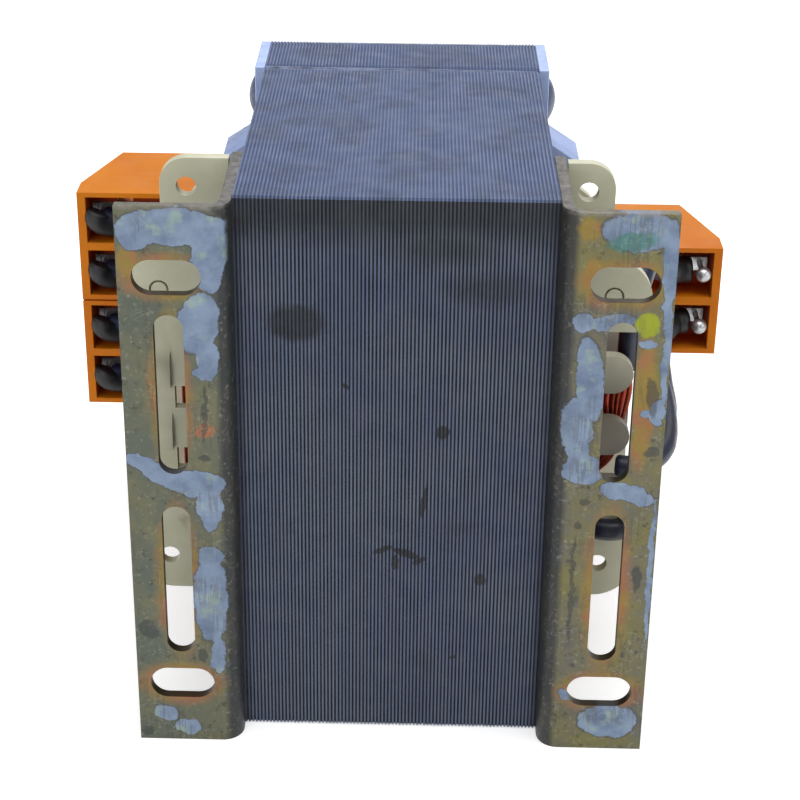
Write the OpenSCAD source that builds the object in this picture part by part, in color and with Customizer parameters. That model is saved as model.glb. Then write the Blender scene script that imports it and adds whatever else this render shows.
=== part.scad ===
// Control transformer on an EI lamination core, standing on one end of the stack.
// X is the stack width, Y runs back from the mounting face, Z is the length of the laminations.

/* [Core] */
// Width of the lamination stack
stack_w = 43; // [30:1:60]
// Width of each outer leg of the E
leg_w = 14; // [12:0.5:18]
// Width of the centre leg of the E
centre_leg_w = 28; // [22:1:34]
// Width of each winding window
window_w = 14; // [12:0.5:18]
// Length of each winding window
window_l = 42; // [38:1:56]
// Depth of the yoke that joins the legs of the E
yoke_d = 14; // [13:0.5:18]
// Depth of the I bar that closes the core
i_bar_d = 14; // [12:0.5:18]
// Diameter of the corner holes
corner_hole_d = 4.4; // [3.5:0.1:5]
// Distance of the corner holes from the edges
corner_hole_inset = 7; // [5:0.5:8]
// Depth of the groove along the seam between E and I
weld_groove = 1.2; // [0.6:0.1:2]

/* [Mounting brackets] */
// Thickness of the bracket sheet
bracket_t = 1.5; // [1:0.1:2.5]
// Width over both feet
feet_w = 73; // [70:0.5:100]
// Distance of the mounting face in front of the core
foot_setback = 4.2; // [3:0.1:10]
// Inside radius of the bracket bend
bend_r = 1.5; // [0.5:0.1:2.5]
// How far the ends of the web reach along the core
web_reach = 16.8; // [14.5:0.1:24]
// Distance between the mounting slots across the feet
slot_pitch_x = 60; // [58:0.5:90]
// Distance between the mounting slots along the feet
slot_pitch_z = 64; // [60:0.5:72]
// Width of a mounting slot
slot_w = 5; // [3:0.1:6]
// Length of a mounting slot
slot_l = 9.2; // [7:0.1:10]
// Width of an adjusting slot
adjust_w = 4; // [2.5:0.1:5]
// Length of an adjusting slot
adjust_l = 24; // [12:0.5:25]
// Distance of an adjusting slot's middle from the middle of the foot
adjust_offset = 14.6; // [14:0.1:15]

/* [Terminal brackets] */
// Thickness of the terminal bracket sheet
strap_t = 1.6; // [1:0.1:2]
// Width of the plate that lies on the side of the core
strap_plate_w = 14; // [12:0.5:16]
// Distance of that plate from the back of the core
strap_plate_inset = 0.5; // [0:0.1:1]
// Width of the raised part that carries the terminal blocks
strap_w = 10; // [8:0.5:12]
// How far the raised part stands out from the core
strap_offset = 5.6; // [4:0.1:10]
// Distance of the sloping shoulders from the ends of the core
shoulder_drop = 11.8; // [11.6:0.1:13]
// Fall of the sloping shoulders
strap_fall = 3.7; // [2:0.1:6]
// Diameter of the rivet shanks
rivet_d = 4.2; // [3:0.1:4.3]
// Diameter of the rivet heads
rivet_head_d = 8; // [6.5:0.1:9]
// Height of the rivet heads
rivet_head_h = 1.6; // [1:0.1:2.5]

/* [Bobbin] */
// Offset of the bobbin from the middle of the stack
bobbin_shift = -1.5; // [-1.5:0.1:1.5]
// Wall of the bobbin tube
tube_t = 1.2; // [0.8:0.1:2]
// Room between the bobbin tube and the centre leg across the stack
tube_play = 1.6; // [1.6:0.1:2.5]
// Thickness of the flanges
flange_t = 1.7; // [1:0.1:2.5]
// Half width of the flanges
flange_half_w = 37.6; // [36.6:0.1:46]
// Radius of the flange's outer corners
flange_r = 6; // [2:0.5:9]
// Half width over the locating ears
ear_half_w = 31.5; // [29:0.1:36]
// Radius of the ear's outer corner
ear_r = 3.8; // [1:0.1:6]
// Diameter of the holes in the ears and flanges
ear_hole_d = 2.8; // [2:0.1:4]
// Half distance between the ear holes
ear_hole_x = 27.8; // [26.8:0.1:28.5]
// Distance of the ear holes below the top of the core
ear_hole_drop = 4.3; // [3:0.1:6]
// Half distance between the locating holes of the flange
locating_x = 32.2; // [30:0.1:34]
// Distance of the locating holes from the middle of the flange
locating_z = 22; // [20:0.5:23]

// Height of a lead comb finger
finger_h = 6; // [5:0.1:6.5]
// Distance between the two fingers
finger_pitch = 10.1; // [9:0.1:11]
// Half width over the fingers
finger_half_w = 35.7; // [32:0.1:37]
// Distance of the lead notches from the middle of the flange
lead_notch_x = 27.5; // [26:0.1:29]
// Height of the open lead notch
lead_notch_h = 23.8; // [19:0.1:25]
// Height of the middle of both combs above the middle of the flange
comb_offset = 4.6; // [3.5:0.1:5.5]
// Width of the closed lead windows
lead_window_w = 3; // [1:0.1:4]
// Height of the closed lead windows
lead_window_h = 3.6; // [2:0.1:4]
// Length of the ribs beside the closed lead windows
rib_l = 6.5; // [3:0.1:7]
// Height of the ribs
rib_h = 0.8; // [0.4:0.1:1.5]
// Height of the slope on top of each rib
rib_slope = 2.2; // [0.5:0.1:4]

/* [Windings] */
// Build-up of the windings along the stack
coil_build = 10.8; // [6:0.1:11]
// Gap between the windings and the edge of the flanges
coil_inset = 0.8; // [0.4:0.1:3]
// Radius of the windings' outer corners
coil_r = 9; // [4:0.5:12]
// Length of the secondary winding along the bobbin
secondary_l = 16.5; // [10:0.5:24]

/* [Terminal blocks] */
// Distance between two poles
pole_pitch = 9.5; // [9:0.1:11]
// Length of a two-pole block
block_l = 19.3; // [18.5:0.1:24]
// Height of the middle of the left blocks
left_blocks_z = 41.2; // [40:0.1:44]
// Height of the middle of the right block
right_block_z = 42.8; // [32:0.1:52]
// Gap between two blocks
block_gap = 0.3; // [0.2:0.1:1]
// How far a block reaches out from its bracket
block_reach = 24.7; // [22:0.1:30]
// How far the blocks stand out behind the core
block_rise = 9.5; // [7:0.1:14]
// Distance from the solder side to the back of a block
block_d = 19.5; // [18:0.1:19.5]
// How far the slope on the outer side of a block cuts in
block_slope = 4.9; // [2:0.1:6]
// Length of the straight outer side of a block
block_flat = 4.5; // [2:0.1:6]
// Height of the solder pockets
pocket_h = 8.1; // [6:0.1:8.3]
// Depth of the solder pockets
pocket_d = 6; // [4:0.1:7]
// Outer wall of a block
block_wall = 1.4; // [1:0.1:2]
// Distance of the solder pockets from the terminal bracket
pocket_inset = 2.3; // [1:0.1:4]
// Width of the slot that goes through the block beside each pole
through_slot_w = 2.6; // [1.5:0.1:3]
// Height of that slot
through_slot_h = 7.2; // [4:0.1:7.6]
// Distance of that slot from the outer wall
slot_inset = 4.4; // [4.2:0.1:5]
// Diameter of the screw holes
screw_hole_d = 5; // [4.5:0.1:6]
// Diameter of the wire holes
wire_hole_d = 4.2; // [3:0.1:4.6]
// Size of a terminal clamp across its screw
clamp_w = 7; // [6:0.1:7.4]
// Length of a terminal clamp along its screw
clamp_d = 8; // [6:0.1:8.2]
// Distance of the clamps from the terminal bracket
clamp_inset = 4.5; // [1:0.1:5]
// Diameter of the terminal screws
screw_d = 2.9; // [2:0.1:3]
// Height of the screw heads
screw_head_h = 2; // [1:0.1:2.5]
// Width of the slot in a screw head
screw_slot_w = 0.8; // [0.4:0.1:1.2]
// Thickness of the solder tags
tag_t = 0.9; // [0.4:0.1:1.2]
// Width of the solder tags
tag_w = 2.4; // [1:0.1:3]
// Distance of the solder pins from the outer wall
tag_inset = 1.5; // [1.4:0.1:3]
// Diameter of the solder beads
solder_d = 2.6; // [1.6:0.1:2.7]

/* [Leads] */
// Diameter of the insulating sleeves
sleeve_d = 3.2; // [2:0.1:3.3]

/* [Hidden] */
$fn = 48;

// clearances: parts that seat, parts that slide in, and parts that only pass
seat = 0.05;
play = 0.1;
relief = 0.3;
window_play = 0.4;
past = 1;

// core
core_h = 2 * leg_w + 2 * window_w + centre_leg_w;
core_d = yoke_d + window_l + i_bar_d;
mid_z = core_h / 2;
side_x = stack_w / 2;
joint_y = yoke_d + window_l;
hole_z = [corner_hole_inset, core_h - corner_hole_inset];
rivet_y = core_d - corner_hole_inset;
overall_d = foot_setback + core_d + block_rise;
core_front_y = foot_setback - overall_d / 2;

// mounting brackets
foot_y = -foot_setback;
bend_out_r = bend_r + bracket_t;
slot_x = slot_pitch_x / 2;

// terminal brackets
plate_x = side_x + strap_t;
strap_x = plate_x + strap_offset;
plate_y = core_d - strap_plate_inset - strap_plate_w;
strap_slope = strap_fall / strap_offset;
strap_rise = strap_t * sqrt(1 + strap_slope * strap_slope);
rivet_dome_r = (rivet_head_d * rivet_head_d / 4 + rivet_head_h * rivet_head_h) / (2 * rivet_head_h);

// bobbin and windings
flange_half_h = window_w + centre_leg_w / 2 - window_play;
tube_half_w = side_x + tube_play;
tube_half_h = centre_leg_w / 2 + window_play;
front_flange_y = yoke_d + relief;
rear_flange_y = joint_y - relief - flange_t;
coil_y = front_flange_y + flange_t;
partition_y = coil_y + secondary_l;
ear_x = side_x + bracket_t + relief;
finger_z = [for (s = [-1, 1]) comb_offset + s * finger_pitch / 2];
coil_half_w = tube_half_w + tube_t + coil_build;
coil_half_h = flange_half_h - coil_inset;

// terminal blocks
block_back_y = core_d + block_rise;
block_y = block_back_y - block_d;
block_x = strap_x + block_reach;
left_z = [left_blocks_z + (block_l + block_gap) / 2, left_blocks_z - (block_l + block_gap) / 2];
pole_z = [pole_pitch / 2, -pole_pitch / 2];
pocket_floor_y = block_y + pocket_d;
clamp_x = strap_x + clamp_inset + clamp_w / 2;
clamp_y = pocket_floor_y + block_wall + play;
wire_y = clamp_y + clamp_d / 2;
tag_pin_x = block_x - block_wall - tag_inset;
tag_y = pocket_floor_y - play - tag_t;

// Route of each lead, from the winding to the solder pin; the left ones are mirrored with their block
LEFT_ROUTES = [
    [[36.8, 46, 50], [39.5, 46, 50], [42.5, 50, 52], [44, 55, 54], [45.5, 60, 55.6], [48.9, 62.5, 55.8]],
    [[36.8, 42, 44], [39.5, 42, 44], [43, 47, 44.5], [44.2, 53, 45.5], [45.5, 59.5, 46.2], [48.9, 62.5, 46.3]],
    [[36.8, 46, 38], [39.5, 46, 38], [43, 50, 37.5], [44.2, 55, 36.8], [45.5, 60, 36.2], [48.9, 62.5, 36.2]],
    [[36.8, 42, 31], [39.5, 42, 31], [43, 47, 29.5], [44.2, 53, 27.6], [45.5, 59.5, 26.7], [48.9, 62.5, 26.7]]];
UPPER_ROUTE = [[33.8, 46, 36], [36.5, 46, 36], [38.4, 48.5, 39], [38.8, 51.5, 44], [39.8, 55, 48.5],
    [43, 59, 49.5], [46, 62, 48], [48.9, 62.5, 47.6]];
LOWER_ROUTE = [[31.2, 24, 17.6], [33.2, 24, 15.6], [37.5, 29, 15.8], [41.5, 34.5, 19], [44, 40.5, 23],
    [44.3, 47, 27.5], [42.8, 53, 32], [43, 58, 36.5], [45.8, 61.8, 38], [48.9, 62.5, 38.1]];

module placed() {
    translate([0, core_front_y, 0]) children();
}

module along_x(from, length) {
    translate([from, 0, 0]) rotate([90, 0, 90]) linear_extrude(length) children();
}

module along_y(from, length) {
    translate([0, from + length, 0]) rotate([90, 0, 0]) linear_extrude(length) children();
}

module obround(length, width) {
    square([length - width, width], center = true);
    for (s = [-1, 1]) translate([s * (length - width) / 2, 0]) circle(d = width);
}

module round_rect(half_w, half_h, r) {
    square([2 * (half_w - r), 2 * half_h], center = true);
    square([2 * half_w, 2 * (half_h - r)], center = true);
    for (x = [-1, 1], z = [-1, 1]) translate([x * (half_w - r), z * (half_h - r)]) circle(r);
}

// Core

module weld_groove_cut() {
    for (z = [0, core_h]) translate([joint_y, z]) rotate(45) square(weld_groove * sqrt(2), center = true);
}

module corner_holes(y) {
    for (z = hole_z) translate([y, z]) circle(d = corner_hole_d);
}

module e_core_stack() {
    color("slategray") along_x(-side_x, stack_w) difference() {
        square([joint_y, core_h]);
        for (z = [leg_w, core_h - leg_w - window_w])
            translate([yoke_d, z]) square([window_l + past, window_w]);
        weld_groove_cut();
        corner_holes(corner_hole_inset);
    }
}

module i_core_stack() {
    color("slategray") along_x(-side_x, stack_w) difference() {
        translate([joint_y, 0]) square([i_bar_d, core_h]);
        weld_groove_cut();
        corner_holes(rivet_y);
    }
}

module weld_bead() {
    bead = weld_groove - play;
    crown_r = 2 * weld_groove;
    color("lightsteelblue") along_x(-side_x + play, stack_w - 2 * play) intersection() {
        translate([joint_y, core_h]) polygon([[-bead, 0], [0, -bead], [bead, 0]]);
        translate([joint_y, core_h - crown_r]) circle(crown_r);
    }
}

module top_weld_bead() {
    weld_bead();
}

module bottom_weld_bead() {
    translate([0, 0, core_h]) mirror([0, 0, 1]) weld_bead();
}

// Mounting brackets

module bracket_section() {
    bend = [side_x + bend_out_r, foot_y + bend_out_r];
    translate([bend.x, foot_y]) square([feet_w / 2 - bend.x, bracket_t]);
    translate([side_x, bend.y]) square([bracket_t, web_reach - bend.y]);
    translate(bend) intersection() {
        difference() {
            circle(bend_out_r);
            circle(bend_r);
        }
        translate([-bend_out_r, -bend_out_r]) square(bend_out_r);
    }
}

module foot_slots() {
    along_y(foot_y - past, bracket_t + 2 * past) {
        for (s = [-1, 1]) {
            translate([slot_x, mid_z + s * slot_pitch_z / 2]) obround(slot_l, slot_w);
            translate([slot_x, mid_z + s * adjust_offset]) rotate(90) obround(adjust_l, adjust_w);
        }
    }
}

// The web is cut back where the bobbin's flange comes out of the window
module web_cutback() {
    translate([side_x - past, yoke_d - relief, leg_w - relief])
        cube([bracket_t + 2 * past, web_reach, core_h - 2 * leg_w + 2 * relief]);
}

module mounting_bracket() {
    color("darkkhaki") difference() {
        linear_extrude(core_h) bracket_section();
        foot_slots();
        web_cutback();
    }
}

module left_mounting_bracket() {
    mirror([1, 0, 0]) mounting_bracket();
}

module right_mounting_bracket() {
    mounting_bracket();
}

// Terminal brackets

module strap_section() {
    top = core_h - shoulder_drop;
    inner_top = top - strap_rise + strap_t * strap_slope;
    inner_out = top - strap_rise - (strap_offset - strap_t) * strap_slope;
    polygon([[plate_x, top + strap_t], [plate_x, top], [strap_x, top - strap_fall],
        [strap_x, core_h - top + strap_fall], [plate_x, core_h - top],
        [plate_x, core_h - top - strap_t], [side_x, core_h - top - strap_t],
        [side_x, core_h - inner_top], [strap_x - strap_t, core_h - inner_out],
        [strap_x - strap_t, inner_out], [side_x, inner_top], [side_x, top + strap_t]]);
}

module terminal_bracket() {
    color("silver") difference() {
        union() {
            along_y(joint_y, strap_w) strap_section();
            for (z = [0, core_h - shoulder_drop])
                translate([side_x, plate_y, z]) cube([strap_t, strap_plate_w, shoulder_drop]);
        }
        for (z = hole_z) translate([side_x - past, rivet_y, z])
            rotate([0, 90, 0]) cylinder(d = rivet_d + 2 * seat, h = strap_t + 2 * past);
    }
}

module left_terminal_bracket() {
    mirror([1, 0, 0]) terminal_bracket();
}

module right_terminal_bracket() {
    terminal_bracket();
}

module rivet_head() {
    rotate([0, 90, 0]) rotate_extrude() intersection() {
        translate([0, rivet_head_h - rivet_dome_r]) circle(rivet_dome_r);
        square([rivet_head_d, rivet_head_h]);
    }
}

module rivet(z) {
    color("silver") translate([0, rivet_y, z]) {
        rotate([0, 90, 0]) cylinder(d = rivet_d, h = 2 * plate_x, center = true);
        translate([plate_x, 0, 0]) rivet_head();
        mirror([1, 0, 0]) translate([plate_x, 0, 0]) rivet_head();
    }
}

module upper_rivet() {
    rivet(hole_z[1]);
}

module lower_rivet() {
    rivet(hole_z[0]);
}

// Bobbin and windings

module tube_hole() {
    square([2 * tube_half_w, 2 * tube_half_h], center = true);
}

module plain_flange() {
    difference() {
        round_rect(flange_half_w, flange_half_h, flange_r);
        tube_hole();
    }
}

// Outline of the ear that stands beside the yoke, for the side given by s
module ear(s) {
    inner = ear_x - s * bobbin_shift;
    top = core_h - mid_z - play;
    width = ear_half_w - inner;
    mirror([s < 0 ? 1 : 0, 0]) translate([inner, 0]) {
        square([width - ear_r, top]);
        square([width, top - ear_r]);
        translate([width - ear_r, top - ear_r]) circle(ear_r);
    }
}

module finger() {
    r = finger_h / 2;
    translate([lead_notch_x - play, -r]) square([finger_half_w - r - lead_notch_x + play, finger_h]);
    translate([finger_half_w - r, 0]) circle(r);
}

module flange_holes() {
    for (s = [-1, 1]) {
        translate([s * ear_hole_x, mid_z - ear_hole_drop]) circle(d = ear_hole_d);
        translate([s * locating_x, -locating_z]) circle(d = ear_hole_d);
    }
}

module front_flange_outline() {
    difference() {
        union() {
            plain_flange();
            for (s = [-1, 1]) ear(s);
        }
        flange_holes();
        translate([lead_notch_x, comb_offset - lead_notch_h / 2])
            square([flange_half_w, lead_notch_h]);
        for (z = finger_z) translate([-lead_notch_x - lead_window_w, z - finger_h / 2 - lead_window_h])
            square([lead_window_w, lead_window_h]);
    }
    for (z = finger_z) translate([0, z]) finger();
}

// Blind hole with a pin standing in it
module locating_dimple(s) {
    translate([s * locating_x, 0, locating_z]) along_y(front_flange_y - past, past + flange_t / 2)
        difference() {
            circle(d = ear_hole_d);
            circle(d = ear_hole_d - 2 * relief);
        }
}

module lead_rib(z) {
    top = z + finger_h / 2;
    foot = z - finger_h / 2;
    along_x(-flange_half_w + play, rib_l) polygon([[front_flange_y, foot],
        [front_flange_y - rib_h, foot], [front_flange_y - rib_h, top - rib_slope],
        [front_flange_y, top]]);
}

module coil_bobbin() {
    color("cornsilk") translate([bobbin_shift, 0, mid_z]) {
        difference() {
            along_y(front_flange_y, flange_t) front_flange_outline();
            for (s = [-1, 1]) locating_dimple(s);
        }
        for (z = finger_z) lead_rib(z);
        for (y = [partition_y, rear_flange_y]) along_y(y, flange_t) plain_flange();
        along_y(front_flange_y, rear_flange_y + flange_t - front_flange_y) difference() {
            square([2 * (tube_half_w + tube_t), 2 * (tube_half_h + tube_t)], center = true);
            tube_hole();
        }
    }
}

module winding(from, to) {
    translate([bobbin_shift, 0, mid_z]) along_y(from + seat, to - from - 2 * seat) difference() {
        round_rect(coil_half_w, coil_half_h, coil_r);
        square([2 * (tube_half_w + tube_t + seat), 2 * (tube_half_h + tube_t + seat)], center = true);
    }
}

module secondary_winding() {
    color("sienna") winding(coil_y, partition_y);
}

module primary_winding() {
    color("saddlebrown") winding(partition_y + flange_t, rear_flange_y);
}

// Terminal blocks, made for the right side and mirrored for the left

module block_section() {
    polygon([[strap_x, block_y], [block_x, block_y], [block_x, block_y + block_flat],
        [block_x - block_slope, block_back_y], [strap_x, block_back_y]]);
}

module solder_pocket() {
    translate([strap_x + pocket_inset, block_y - past, -pocket_h / 2])
        cube([block_x - block_wall - strap_x - pocket_inset, pocket_d + past, pocket_h]);
}

module through_slot() {
    translate([block_x - block_wall - slot_inset - through_slot_w, block_y, -through_slot_h / 2])
        cube([through_slot_w, block_d + past, through_slot_h]);
}

module clamp_room() {
    translate([clamp_x - clamp_w / 2 - play, clamp_y - play, -clamp_w / 2 - play])
        cube([clamp_w + 2 * play, clamp_d + 2 * play, clamp_w + 2 * play]);
    translate([clamp_x, clamp_y + clamp_d, 0]) rotate([-90, 0, 0])
        cylinder(d = screw_hole_d, h = block_d);
    translate([clamp_x, wire_y, 0]) rotate([0, 90, 0]) cylinder(d = wire_hole_d, h = block_reach);
}

module tag_slot() {
    translate([clamp_x - tag_w / 2 - play, pocket_floor_y - past, -tag_w / 2 - play])
        cube([tag_w + 2 * play, block_wall + play + past, tag_w + 2 * play]);
}

module terminal_block(z) {
    color("darkorange") translate([0, 0, z]) difference() {
        translate([0, 0, -block_l / 2]) linear_extrude(block_l) block_section();
        for (p = pole_z) translate([0, 0, p]) {
            solder_pocket();
            through_slot();
            clamp_room();
            tag_slot();
        }
    }
}

module clamp() {
    difference() {
        translate([clamp_x - clamp_w / 2, clamp_y, -clamp_w / 2])
            cube([clamp_w, clamp_d, clamp_w]);
        translate([clamp_x - clamp_w, wire_y, 0]) rotate([0, 90, 0])
            cylinder(d = wire_hole_d, h = 2 * clamp_w);
        translate([clamp_x, wire_y, 0]) rotate([-90, 0, 0])
            cylinder(d = screw_d + 2 * seat, h = clamp_d);
    }
}

module screw() {
    head_y = clamp_y + clamp_d + play;
    tip_y = wire_y + wire_hole_d / 2;
    difference() {
        union() {
            translate([clamp_x, head_y, 0]) rotate([-90, 0, 0])
                cylinder(d = screw_hole_d - 2 * relief, h = screw_head_h);
            translate([clamp_x, tip_y, 0]) rotate([-90, 0, 0])
                cylinder(d = screw_d, h = head_y - tip_y + play);
        }
        translate([clamp_x - screw_hole_d / 2, head_y + screw_head_h / 2, -screw_slot_w / 2])
            cube([screw_hole_d, screw_head_h, screw_slot_w]);
    }
}

module tag() {
    translate([clamp_x - tag_w / 2, tag_y, -tag_w / 2])
        cube([tag_pin_x + tag_w / 2 - clamp_x + tag_w / 2, tag_t, tag_w]);
    translate([clamp_x - tag_w / 2, tag_y, -tag_w / 2])
        cube([tag_w, clamp_y - seat - tag_y, tag_w]);
    translate([tag_pin_x, block_y + solder_d / 8, 0]) rotate([-90, 0, 0])
        cylinder(d = tag_t, h = tag_y - block_y);
    translate([tag_pin_x, block_y + solder_d / 8, 0]) sphere(d = solder_d);
}

module clamps(z) {
    color("gainsboro") for (p = pole_z) translate([0, 0, z + p]) clamp();
}

module screws(z) {
    color("gainsboro") for (p = pole_z) translate([0, 0, z + p]) screw();
}

module tags(z) {
    color("lightgray") for (p = pole_z) translate([0, 0, z + p]) tag();
}

module on_left() {
    mirror([1, 0, 0]) children();
}

module left_upper_block() {
    on_left() terminal_block(left_z[0]);
}

module left_lower_block() {
    on_left() terminal_block(left_z[1]);
}

module right_block() {
    terminal_block(right_block_z);
}

module left_upper_clamps() {
    on_left() clamps(left_z[0]);
}

module left_lower_clamps() {
    on_left() clamps(left_z[1]);
}

module right_clamps() {
    clamps(right_block_z);
}

module left_upper_screws() {
    on_left() screws(left_z[0]);
}

module left_lower_screws() {
    on_left() screws(left_z[1]);
}

module right_screws() {
    screws(right_block_z);
}

module left_upper_tags() {
    on_left() tags(left_z[0]);
}

module left_lower_tags() {
    on_left() tags(left_z[1]);
}

module right_tags() {
    tags(right_block_z);
}

// Leads: each is a tube swept along its own points, from the coil to its solder tag

function unit(v) = v / norm(v);

function between(a, b, c, d, t) = 0.5 * (2 * b + (c - a) * t + (2 * a - 5 * b + 4 * c - d) * t * t
    + (3 * b - a - 3 * c + d) * t * t * t);

function smooth(pts, steps = 4) = let (last = len(pts) - 1) concat(
    [for (i = [0:last - 1], j = [0:steps - 1]) between(pts[max(i - 1, 0)], pts[i], pts[i + 1],
        pts[min(i + 2, last)], j / steps)], [pts[last]]);

function ring(centre, along, r, sides) = let (u = unit(cross(along, [0.2, 0.25, 1])),
    v = unit(cross(along, u))) [for (k = [0:sides - 1]) centre + r * cos(360 * k / sides) * u
    + r * sin(360 * k / sides) * v];

module lead(pts, sides = 10) {
    route = smooth(pts);
    last = len(route) - 1;
    rings = [for (i = [0:last]) each ring(route[i],
        unit(route[min(i + 1, last)] - route[max(i - 1, 0)]), sleeve_d / 2, sides)];
    walls = [for (i = [0:last - 1], k = [0:sides - 1]) let (a = i * sides, b = a + sides,
        n = (k + 1) % sides) each [[a + k, a + n, b + n], [a + k, b + n, b + k]]];
    ends = [[for (k = [sides - 1:-1:0]) k], [for (k = [0:sides - 1]) last * sides + k]];
    color("midnightblue") polyhedron(rings, concat(walls, ends));
}

module left_lead_1() {
    on_left() lead(LEFT_ROUTES[0]);
}

module left_lead_2() {
    on_left() lead(LEFT_ROUTES[1]);
}

module left_lead_3() {
    on_left() lead(LEFT_ROUTES[2]);
}

module left_lead_4() {
    on_left() lead(LEFT_ROUTES[3]);
}

module right_upper_lead() {
    lead(UPPER_ROUTE);
}

module right_lower_lead() {
    lead(LOWER_ROUTE);
}

placed() e_core_stack();
placed() i_core_stack();
placed() top_weld_bead();
placed() bottom_weld_bead();
placed() left_mounting_bracket();
placed() right_mounting_bracket();
placed() left_terminal_bracket();
placed() right_terminal_bracket();
placed() upper_rivet();
placed() lower_rivet();
placed() coil_bobbin();
placed() secondary_winding();
placed() primary_winding();
placed() left_upper_block();
placed() left_lower_block();
placed() right_block();
placed() left_upper_clamps();
placed() left_lower_clamps();
placed() right_clamps();
placed() left_upper_screws();
placed() left_lower_screws();
placed() right_screws();
placed() left_upper_tags();
placed() left_lower_tags();
placed() right_tags();
placed() left_lead_1();
placed() left_lead_2();
placed() left_lead_3();
placed() left_lead_4();
placed() right_upper_lead();
placed() right_lower_lead();
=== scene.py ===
import bpy, bmesh, math, random
from mathutils import Matrix, Vector, noise


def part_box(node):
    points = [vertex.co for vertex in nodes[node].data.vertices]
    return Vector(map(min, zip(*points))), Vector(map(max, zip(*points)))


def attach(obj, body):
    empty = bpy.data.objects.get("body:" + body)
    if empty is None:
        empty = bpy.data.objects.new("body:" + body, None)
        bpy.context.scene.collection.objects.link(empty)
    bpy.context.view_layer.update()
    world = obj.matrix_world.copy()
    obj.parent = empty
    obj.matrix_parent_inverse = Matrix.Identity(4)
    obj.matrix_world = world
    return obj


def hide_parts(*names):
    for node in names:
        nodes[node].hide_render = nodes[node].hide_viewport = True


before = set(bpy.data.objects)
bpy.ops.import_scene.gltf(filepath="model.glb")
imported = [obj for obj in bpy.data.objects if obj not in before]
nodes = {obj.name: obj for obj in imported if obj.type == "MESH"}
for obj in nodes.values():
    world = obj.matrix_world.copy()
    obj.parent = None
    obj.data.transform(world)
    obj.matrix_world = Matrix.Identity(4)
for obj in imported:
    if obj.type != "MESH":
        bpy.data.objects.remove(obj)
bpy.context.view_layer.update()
mm = 0.001


def report(stage):
    print("stage:", stage)


def tone(colour):  # a screen colour, 0 to 255, as a linear one
    return tuple(((c / 255 + 0.055) / 1.055) ** 2.4 for c in colour) + (1,)


# place in metres, angles in degrees
camera = {"place": (0.00248, -0.26848, 0.17449), "turn": 1.65, "tilt": -24.593, "roll": -0.27,
          "lens": 85.617, "sensor": 36, "shift": (0.045, -0.12), "clip": (0.01, 10)}

view = bpy.data.objects.new("camera", bpy.data.cameras.new("camera"))
bpy.context.scene.collection.objects.link(view)
view.data.lens, view.data.sensor_width = camera["lens"], camera["sensor"]
view.data.shift_x, view.data.shift_y = camera["shift"]
view.data.clip_start, view.data.clip_end = camera["clip"]
view.matrix_world = (Matrix.Translation(camera["place"])
                     @ Matrix.Rotation(math.radians(camera["turn"]), 4, "Z")
                     @ Matrix.Rotation(math.radians(camera["tilt"]), 4, "X")
                     @ Matrix.Rotation(math.radians(camera["roll"]), 4, "Y")
                     @ Matrix.Rotation(math.pi / 2, 4, "X"))
bpy.context.scene.camera = view
bpy.context.scene.view_settings.view_transform = "Standard"


# helpers for building node trees; a socket is linked, anything else is set as a value
def addNode(tree, kind, sockets=None, **settings):
    node = tree.nodes.new(kind)
    for key, value in settings.items():
        setattr(node, key, value)
    for key, value in (sockets or {}).items():
        if isinstance(value, bpy.types.NodeSocket):
            tree.links.new(value, node.inputs[key])
        else:
            node.inputs[key].default_value = value
    return node


def maths(tree, operation, *values, clamp=False):
    sockets = dict(enumerate(values))
    return addNode(tree, "ShaderNodeMath", sockets, operation=operation, use_clamp=clamp).outputs[0]


def vectorMaths(tree, operation, *values):
    return addNode(tree, "ShaderNodeVectorMath", dict(enumerate(values)), operation=operation).outputs[0]


def joined(tree, operation, values, *extra):  # any number of values folded into one
    result = values[0]
    for value in values[1:]:
        result = maths(tree, operation, result, value, *extra)
    return result


def times(tree, *values):
    return joined(tree, "MULTIPLY", values)


def mixColour(tree, factor, first, second):
    return addNode(tree, "ShaderNodeMix", {0: factor, 6: first, 7: second}, data_type="RGBA").outputs[2]


def ramp(tree, value, low, high, toLow=0.0, toHigh=1.0):
    return addNode(tree, "ShaderNodeMapRange", {0: value, 1: low, 2: high, 3: toLow, 4: toHigh}).outputs[0]


def cloudy(tree, point, **settings):
    return addNode(tree, "ShaderNodeTexNoise", {"Vector": point, **settings})


def axes(tree, point):
    return addNode(tree, "ShaderNodeSeparateXYZ", {0: point}).outputs


def faceNormal(tree):
    return axes(tree, addNode(tree, "ShaderNodeTexCoord").outputs["Normal"])


def newGroup(name, inputs, output):
    group = bpy.data.node_groups.new(name, "ShaderNodeTree")
    for title, kind, value in inputs:
        socket = group.interface.new_socket(title, in_out="INPUT", socket_type="NodeSocket" + kind)
        if value is not None:
            socket.default_value = value
    group.interface.new_socket(output, in_out="OUTPUT", socket_type="NodeSocketFloat")
    return group, group.nodes.new("NodeGroupInput").outputs, group.nodes.new("NodeGroupOutput").inputs


def useGroup(tree, group, sockets):
    return addNode(tree, "ShaderNodeGroup", sockets, node_tree=group).outputs[0]


# effects that several materials share
def makeMottle():  # cloudy variation, 0 to 1
    group, given, result = newGroup("mottle", [("Point", "Vector", None), ("Scale", "Float", 200.0),
                                               ("Low", "Float", 0.4), ("High", "Float", 0.6)], "Mask")
    cloud = cloudy(group, given["Point"], Scale=given["Scale"], Detail=5.0, Roughness=0.6)
    group.links.new(ramp(group, cloud.outputs[0], given["Low"], given["High"]), result["Mask"])
    return group


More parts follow.
